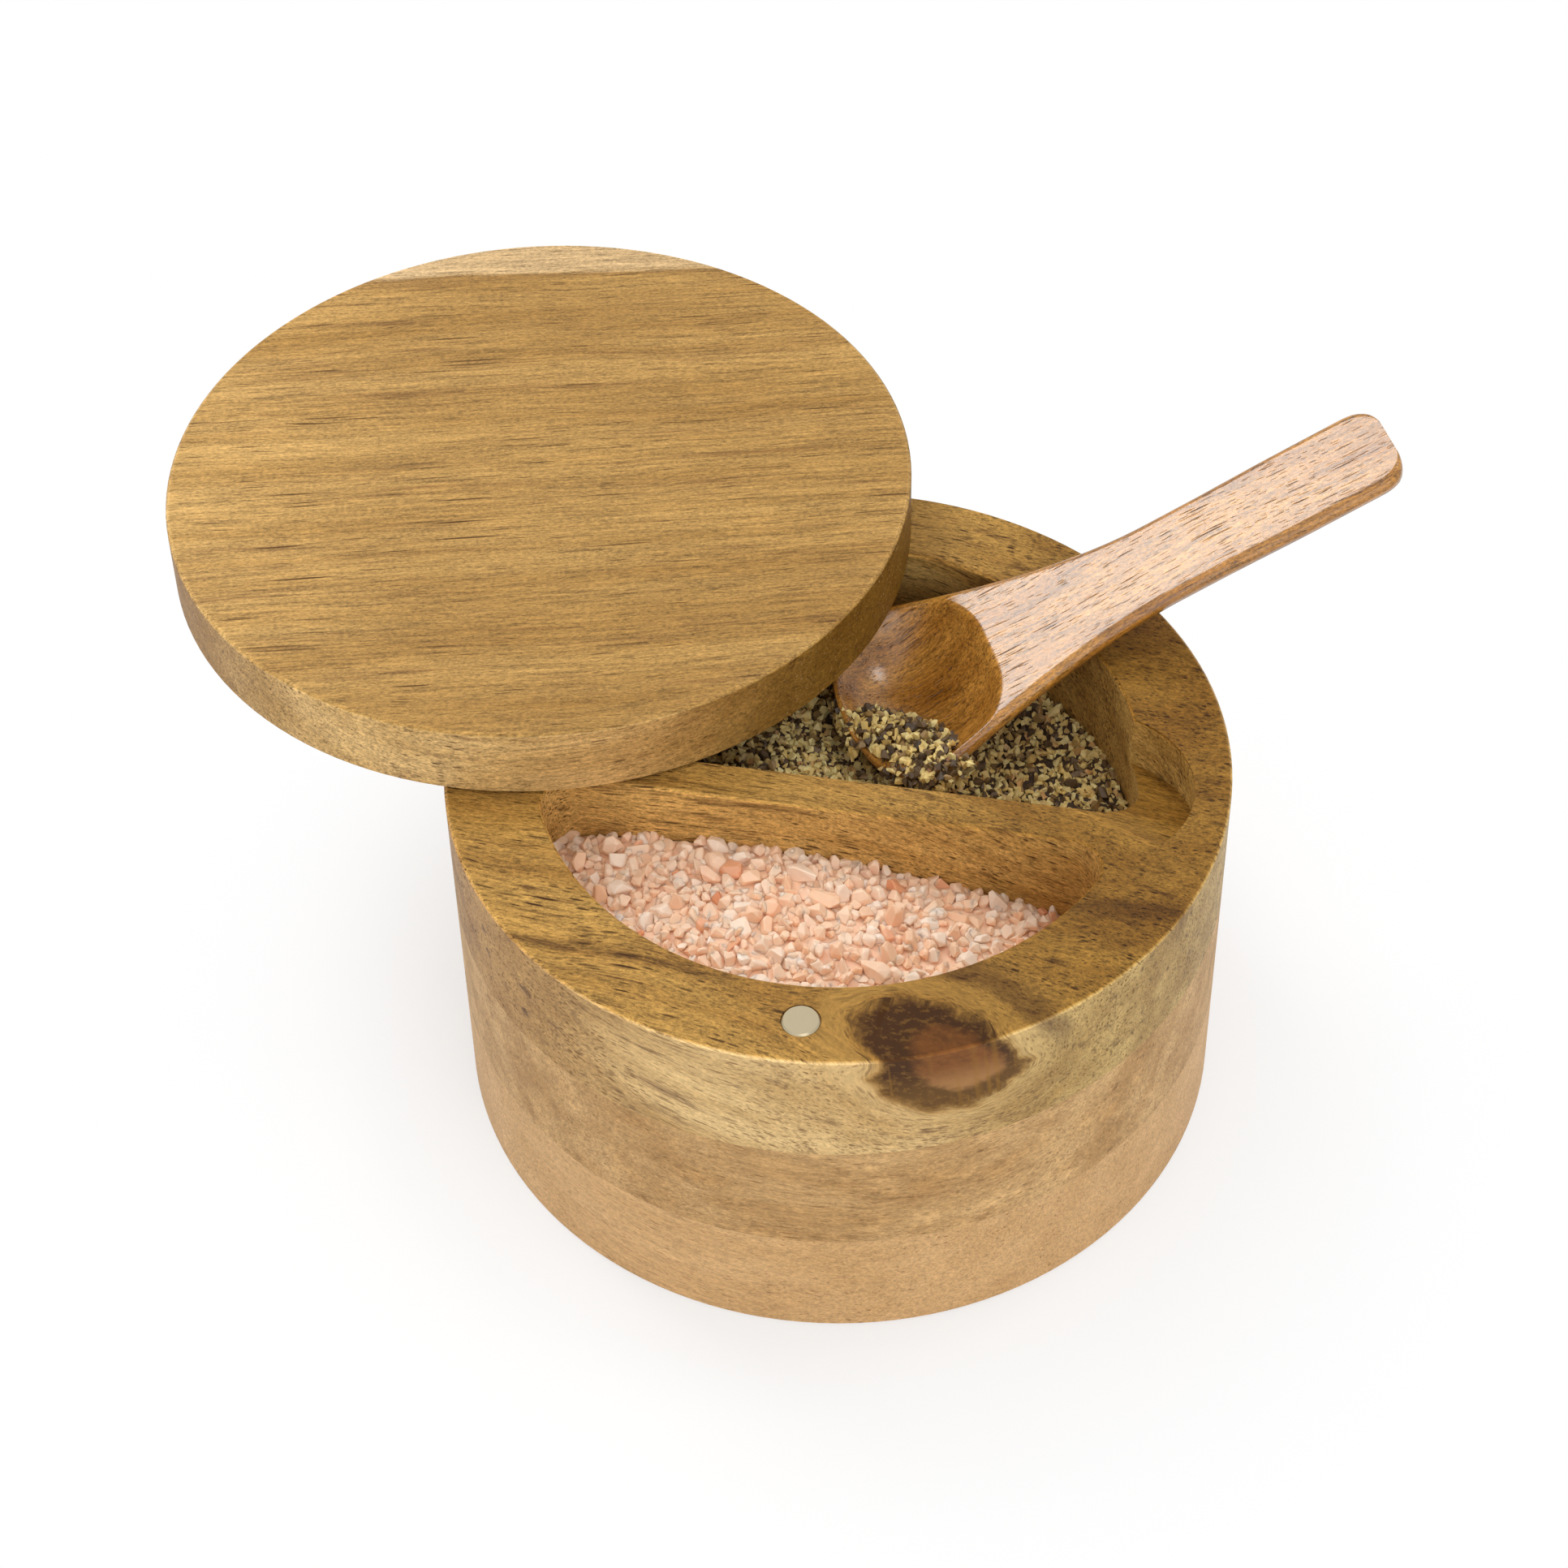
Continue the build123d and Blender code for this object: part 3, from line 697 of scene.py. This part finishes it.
def chip_shapes(name, count, size, points, seed, bevel=0.0):
    """A few broken shapes: the hull of random points on a flattened ball, with worn edges if asked for."""
    shapes = bpy.data.collections.new(name)
    rng = random.Random(seed)
    for n in range(count):
        chip = bmesh.new()
        sizes = [s * rng.uniform(0.8, 1.2) for s in size]
        for _ in range(points):
            spot = Vector([rng.gauss(0, 1) for _ in range(3)]).normalized() * rng.uniform(0.85, 1.0)
            chip.verts.new([a * b / 2 for a, b in zip(spot, sizes)])
        bmesh.ops.convex_hull(chip, input=chip.verts)
        bmesh.ops.delete(chip, geom=[v for v in chip.verts if not v.link_faces], context="VERTS")
        if bevel:
            bmesh.ops.dissolve_limit(chip, angle_limit=0.3, verts=chip.verts, edges=chip.edges)
            bmesh.ops.bevel(chip, geom=chip.edges, offset=bevel, segments=1, affect="EDGES",
                            clamp_overlap=True)
        bmesh.ops.recalc_face_normals(chip, faces=chip.faces)
        shapes.objects.link(bpy.data.objects.new(f"{name}_{n}", make_mesh(chip, f"{name}_{n}")))
        chip.free()
    return shapes


print("heap helpers ready")

# %% [markdown]
# The scattering tree puts points on the surface that keep a given spacing. It raises or lowers them at
# random, and leaves them out where they would touch the spoon. A shape comes on each point, and then a stored
# tint that the material reads. The tree ends in Realize Instances and Set Material, so that the result is a
# plain mesh.


# %% Geometry Nodes tree that scatters grains
def draw(tree, low, high, seed, kind="FLOAT"):
    """A random number or vector between two limits, another one for each grain."""
    first, out = (2, 1) if kind == "FLOAT" else (0, 0)
    inputs = {first: low, first + 1: high, "Seed": seed}
    return add(tree, "FunctionNodeRandomValue", inputs, data_type=kind).outputs[out]


def grain_tree(name, shapes, avoid=None):
    """A tree that scatters the shapes, and keeps them clear of an object if one is given."""
    full_turn = 6.283
    tree = bpy.data.node_groups.new(name, "GeometryNodeTree")
    face = tree.interface
    face.new_socket("Geometry", in_out="INPUT", socket_type="NodeSocketGeometry")
    for label, value in (("Spacing", 1.6 * MM), ("Smallest", 0.8), ("Largest", 1.5), ("Lift", 0.8 * MM),
                         ("Clearance", 0.0), ("Darkest", 0.0), ("Palest", 1.0)):
        face.new_socket(label, in_out="INPUT", socket_type="NodeSocketFloat").default_value = value
    face.new_socket("Seed", in_out="INPUT", socket_type="NodeSocketInt").default_value = 1
    face.new_socket("Material", in_out="INPUT", socket_type="NodeSocketMaterial")
    face.new_socket("Geometry", in_out="OUTPUT", socket_type="NodeSocketGeometry")
    given = tree.nodes.new("NodeGroupInput").outputs
    points = add(tree, "GeometryNodeDistributePointsOnFaces", {
        "Mesh": given["Geometry"], "Distance Min": given["Spacing"], "Density Max": 4e6,
        "Seed": given["Seed"]}, distribute_method="POISSON").outputs["Points"]
    height = draw(tree, times(tree, given["Lift"], -1.0), given["Lift"], 11)
    points = add(tree, "GeometryNodeSetPosition",
                 {"Geometry": points, "Offset": point(tree, Z=height)}).outputs[0]
    if avoid:
        body = add(tree, "GeometryNodeObjectInfo", {"Object": avoid}).outputs["Geometry"]
        apart = add(tree, "GeometryNodeProximity", {0: body}).outputs["Distance"]
        near = add(tree, "FunctionNodeCompare", {0: apart, 1: given["Clearance"]},
                   operation="LESS_THAN").outputs[0]
        points = add(tree, "GeometryNodeDeleteGeometry",
                     {"Geometry": points, "Selection": near}).outputs[0]
    shape = add(tree, "GeometryNodeCollectionInfo", {"Collection": shapes, "Separate Children": True,
                                                     "Reset Children": True}).outputs[0]
    grains = add(tree, "GeometryNodeInstanceOnPoints", {
        "Points": points, "Instance": shape, "Pick Instance": True,
        "Rotation": draw(tree, (0, 0, 0), (full_turn, full_turn, full_turn), 12, "FLOAT_VECTOR"),
        "Scale": draw(tree, given["Smallest"], given["Largest"], 13)}).outputs[0]
    store = add(tree, "GeometryNodeStoreNamedAttribute", {"Geometry": grains, "Name": "tint"},
                domain="INSTANCE", data_type="FLOAT")
    tree.links.new(draw(tree, given["Darkest"], given["Palest"], 14), store.inputs["Value"])
    solid = add(tree, "GeometryNodeRealizeInstances", {"Geometry": store.outputs[0]}).outputs[0]
    last = add(tree, "GeometryNodeSetMaterial",
               {"Geometry": solid, "Material": given["Material"]}).outputs[0]
    tree.links.new(last, tree.nodes.new("NodeGroupOutput").inputs[0])
    return tree


print("scattering tree ready")

# %% [markdown]
# A tree does its work as a modifier of an object. Here a holder carries it only for a moment: its result is
# kept as a plain mesh and the holder goes. Small grains come first and larger ones over them, as they settle
# in a real heap, and all of them are joined into one piece that rides on the body it lies in.


# %% Grains as plain meshes
def scatter(name, surface, tree, material, **sizes):
    """Runs the tree over a surface and returns the grains as a plain mesh."""
    holder = put(name, surface)
    run = holder.modifiers.new("grains", "NODES")
    run.node_group = tree
    sockets = {s.name: s.identifier for s in tree.interface.items_tree if s.in_out == "INPUT"}
    run[sockets["Material"]] = material
    for label, value in sizes.items():
        run[sockets[label.title()]] = value
    bpy.context.view_layer.update()
    shaped = holder.evaluated_get(bpy.context.evaluated_depsgraph_get())
    grains = bpy.data.meshes.new_from_object(shaped)
    bpy.data.objects.remove(holder)
    return grains


def layers(name, surface, tree, material, sizes, **more):
    """The layers of a heap, one mesh for each set of sizes."""
    return [scatter(f"{name}_{layer}", surface, tree, material, **given, **more)
            for layer, given in sizes.items()]


def join(name, meshes, body):
    """One finished piece out of several meshes, riding on a body."""
    parts = [put(f"{name}_{n}", mesh) for n, mesh in enumerate(meshes)]
    with bpy.context.temp_override(active_object=parts[0], object=parts[0], selected_objects=parts,
                                   selected_editable_objects=parts):
        bpy.ops.object.join()
    piece = parts[0]
    piece.name = name
    piece.data.name = name
    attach(piece, body)
    return piece


print("scattering helpers ready")

# %% [markdown]
# Rock salt crystals let light in and scatter it, so most look like milky pink glass, a few nearly white, and
# a few carry rust-coloured iron. The tint attribute picks a colour from a ramp, and subsurface scattering
# softens it.


# %% Salt
def tinted(name, stops, roughness, speck):
    """A material whose colour comes from each grain's own tint, with specks a little darker."""
    material, tree, shader = new_material(name)
    own_tint = add(tree, "ShaderNodeAttribute", attribute_name="tint").outputs["Fac"]
    chart = add(tree, "ShaderNodeValToRGB", {"Fac": own_tint})
    bar = chart.color_ramp.elements
    while len(bar) < len(stops):
        bar.new(0.5)
    for element, (position, colour) in zip(bar, stops):
        element.position = position
        element.color = colour
    cloud = noise(tree, object_place(tree), 900.0, 3.0)
    colour = shaded(tree, chart.outputs[0], ramp(tree, cloud, 0.3, 0.7, 1.0 - speck, 1.0))
    tree.links.new(colour, shader.inputs["Base Color"])
    tree.links.new(line(tree, cloud, 0.2, roughness), shader.inputs["Roughness"])
    return material, shader


# The first stop is also the colour of the bed, which has no tint: a deeper peach, painted shade for the gaps
# between crystals.
salt_stuff, shader = tinted("salt_crystal", [
    (0.0, rgb(250, 206, 174)), (0.06, rgb(255, 232, 214)), (0.25, rgb(255, 223, 198)),
    (0.95, rgb(253, 208, 173)), (1.0, rgb(230, 158, 114))], 0.25, 0.04)
shader.inputs["Subsurface Weight"].default_value = 0.6
shader.inputs["Subsurface Radius"].default_value = (1.0, 0.95, 0.9)
shader.inputs["Subsurface Scale"].default_value = 0.5 * MM
bed, surface = heap_copy("salt_fill", 2.8 * MM, salt_stuff)
crystals = chip_shapes("crystal", 9, (5.2 * MM, 4.2 * MM, 3.4 * MM), 16, 3, 0.4 * MM)
crystal_sizes = {"low": dict(spacing=1.4 * MM, smallest=0.45, largest=0.75, lift=0.6 * MM, seed=4),
                 "high": dict(spacing=2.6 * MM, smallest=0.6, largest=1.15, lift=1.1 * MM, seed=9)}
grains = layers("salt", surface, grain_tree("salt_grains", crystals), salt_stuff, crystal_sizes)
salt = join("coarse_salt", [bed] + grains, "base")
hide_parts("salt_fill")
print("salt has", len(salt.data.polygons), "faces")

# %% [markdown]
# Cracked pepper is chips of two kinds: dark wrinkled husk and the pale inside of the corn. One ramp with a
# steep step gives both in the right shares.

# %% Chips of pepper
pepper_stuff, _ = tinted("cracked_pepper", [
    (0.0, rgb(72, 56, 42)), (0.24, rgb(116, 92, 62)), (0.34, rgb(176, 142, 88)), (0.4, rgb(244, 210, 128)),
    (0.88, rgb(255, 238, 168)), (1.0, rgb(216, 164, 100))], 0.4, 0.2)
flakes = chip_shapes("flake", 9, (2.6 * MM, 2.3 * MM, 1.8 * MM), 10, 5)
flake_sizes = {
    "low": dict(spacing=0.75 * MM, smallest=0.5, largest=0.85, lift=0.4 * MM, clearance=0.9 * MM, seed=6),
    "high": dict(spacing=1.1 * MM, smallest=0.6, largest=1.1, lift=0.9 * MM, clearance=1.1 * MM, seed=7)}

# %% [markdown]
# The bowl's near front corner lies buried, so chips also lie over its rim there. They rest on a small sheet
# that is worked out in the spoon's own frame: a slope inside the bowl, a crest over the rim, and a fall just
# outside it.

# %% A sheet for the pepper on the spoon
BOWL_TIP = 0.3 - BOWL
MOUND_STEP, MOUND_ROWS, MOUND_COLUMNS = 0.7, 34, 44
MOUND_FROM = (-BOWL - 2.2, -22)
CORNER_FROM, TO_CORNER = (-32.5, -5.0), (0.829, 0.559)
START_HEIGHT, CREST_HEIGHT, CREST_RISE = -3.2, 1.0, 0.1


def past_rim(x, y):
    """How far a place is outside the bowl's rim, or a negative number inside it."""
    return max(abs(y) - spoon_half(max(x, BOWL_TIP)), BOWL_TIP - x)


def mound_height(x, y):
    """Height of the pepper over the spoon's near front corner, or a low one where it ends."""
    slope = TO_CORNER[0] * (CORNER_FROM[0] - x) + TO_CORNER[1] * (CORNER_FROM[1] - y)
    crest = min(START_HEIGHT + slope, CREST_HEIGHT + CREST_RISE * slope)
    return crest - 0.9 * max(0, past_rim(x, y)) ** 1.5


def is_covered(x, y):
    """Whether pepper shows over the wood inside the rim, or still lies high enough outside it."""
    past, height = past_rim(x, y), mound_height(x, y)
    return height > upper_height(x, y) + 0.1 if past < -0.5 else past < 2.0 and height > -1.8


mound = bmesh.new()
spots = {}
for a in range(MOUND_ROWS):
    for b in range(MOUND_COLUMNS):
        x, y = MOUND_FROM[0] + a * MOUND_STEP, MOUND_FROM[1] + b * MOUND_STEP
        if is_covered(x, y):
            spots[a, b] = mound.verts.new(SPOON_AT @ Vector((x, y, mound_height(x, y) - 0.2)) * MM)
for a, b in spots:
    square = [spots.get(key) for key in ((a, b), (a + 1, b), (a + 1, b + 1), (a, b + 1))]
    if all(square):
        mound.faces.new(square)
mound_mesh = make_mesh(mound, "mound")
print("the sheet has", len(mound_mesh.polygons), "faces")

# %% [markdown]
# Chips on the spoon ride on it, so they are a piece of their own. They are scattered over the sheet without
# anything to keep clear of, and none of them is as pale as the palest in the box, because they lie on top in
# full light. Sheet and spoon together make the mesh that the other chips keep clear of.

# %% Pepper on the spoon
mound.from_mesh(spoon_mesh)
bmesh.ops.delete(mound, geom=[v for v in mound.verts if not v.link_faces], context="VERTS")
keep_clear_mesh = make_mesh(mound, "keep_clear")
mound.free()
loose_tree = grain_tree("loose_grains", flakes)
grains = layers("scoop", mound_mesh, loose_tree, pepper_stuff, flake_sizes, palest=0.75)
scoop = join("cracked_pepper_spoon", grains, "spoon")
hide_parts("pepper_scoop")
print("pepper on the spoon has", len(scoop.data.polygons), "faces")

# %% [markdown]
# The rest of the pepper stays in the box when the spoon is lifted, so its chips keep clear of the spoon and
# of the sheet of chips that lie on it. The tree measures that distance from one mesh that holds both.

# %% Pepper in the box
keep_clear = bpy.data.objects.new("keep_clear", keep_clear_mesh)
pepper_tree = grain_tree("pepper_grains", flakes, keep_clear)
bed, surface = heap_copy("pepper_fill", 1.5 * MM, pepper_stuff)
grains = layers("pepper", surface, pepper_tree, pepper_stuff, flake_sizes, darkest=0.12)
pepper = join("cracked_pepper_box", [bed] + grains, "base")
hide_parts("pepper_fill")
bpy.data.objects.remove(keep_clear)
print("pepper in the box has", len(pepper.data.polygons), "faces")

# %% [markdown]
# The studio is a white sweep under soft lamps. Camera rays see the floor partly as its own light, and more so
# away from the box, so the backdrop is white and the shadow under the box still shows.


# %% Floor
def seen_directly(tree):
    """1 for rays from the camera, from gloss and through glass."""
    path = add(tree, "ShaderNodeLightPath").outputs
    both = number(tree, "MAXIMUM", path["Is Camera Ray"], path["Is Glossy Ray"])
    return number(tree, "MAXIMUM", both, path["Is Transmission Ray"])


sheet = bmesh.new()
bmesh.ops.create_grid(sheet, x_segments=1, y_segments=1, size=4)
floor_mesh = make_mesh(sheet, "floor")
sheet.free()
floor = put("floor", floor_mesh)
floor_paint = bpy.data.materials.new("floor_paint")
floor_paint.use_nodes = True
tree = floor_paint.node_tree
tree.nodes.clear()
matte = add(tree, "ShaderNodeBsdfDiffuse", {"Color": (0.96, 0.96, 0.96, 1)}).outputs[0]
glow = add(tree, "ShaderNodeEmission", {"Color": (1, 1, 1, 1), "Strength": 1.0}).outputs[0]
near, far, least, most = 0.04, 0.128, 0.52, 1.0
away = length(tree, object_place(tree))
share = times(tree, seen_directly(tree), ramp(tree, away, near, far, least, most))
both = add(tree, "ShaderNodeMixShader", {0: share, 1: matte, 2: glow}).outputs[0]
add(tree, "ShaderNodeOutputMaterial", {"Surface": both})
floor_mesh.materials.append(floor_paint)
print("floor is", round(floor.dimensions.x, 1), "m wide")

# %% [markdown]
# The lamps are large and near, so shadows are soft, and one sits behind and to the left, where the spoon's
# flat handle mirrors it towards the camera. A small one overhead does the same for the hollow of the bowl.
# The world is white for the camera and a little darker for everything that it lights.


# %% Lamps and world
def lamp(name, direction, distance, size, power):
    """A round lamp that aims at the middle of the box."""
    data = bpy.data.lights.new(name, "AREA")
    data.shape = "DISK"
    data.size = size
    data.energy = power
    light = put(name, data)
    away = Vector(direction).normalized()
    light.location = Vector((0, 0, 0.05)) + away * distance
    light.rotation_euler = away.to_track_quat("Z", "Y").to_euler()


world = bpy.data.worlds.new("studio")
bpy.context.scene.world = world
world.use_nodes = True
tree = world.node_tree
tree.nodes.clear()
strength = plus(tree, 0.7, times(tree, seen_directly(tree), 0.3))
background = add(tree, "ShaderNodeBackground", {"Color": (1, 1, 1, 1), "Strength": strength}).outputs[0]
add(tree, "ShaderNodeOutputWorld", {"Surface": background})

lamp("key_lamp", direction=(-0.3, -0.5, 0.95), distance=1.3, size=1.2, power=1.2)
lamp("front_lamp", direction=(0.35, -0.9, 0.4), distance=1.4, size=1.2, power=4.2)
lamp("spoon_lamp", direction=(-0.49, 0.42, 0.77), distance=1.3, size=0.5, power=5)
lamp("bowl_lamp", direction=(0.25, 0.14, 0.95), distance=1.3, size=0.3, power=1.8)
bpy.context.scene.view_settings.view_transform = "Standard"
print("studio ready")
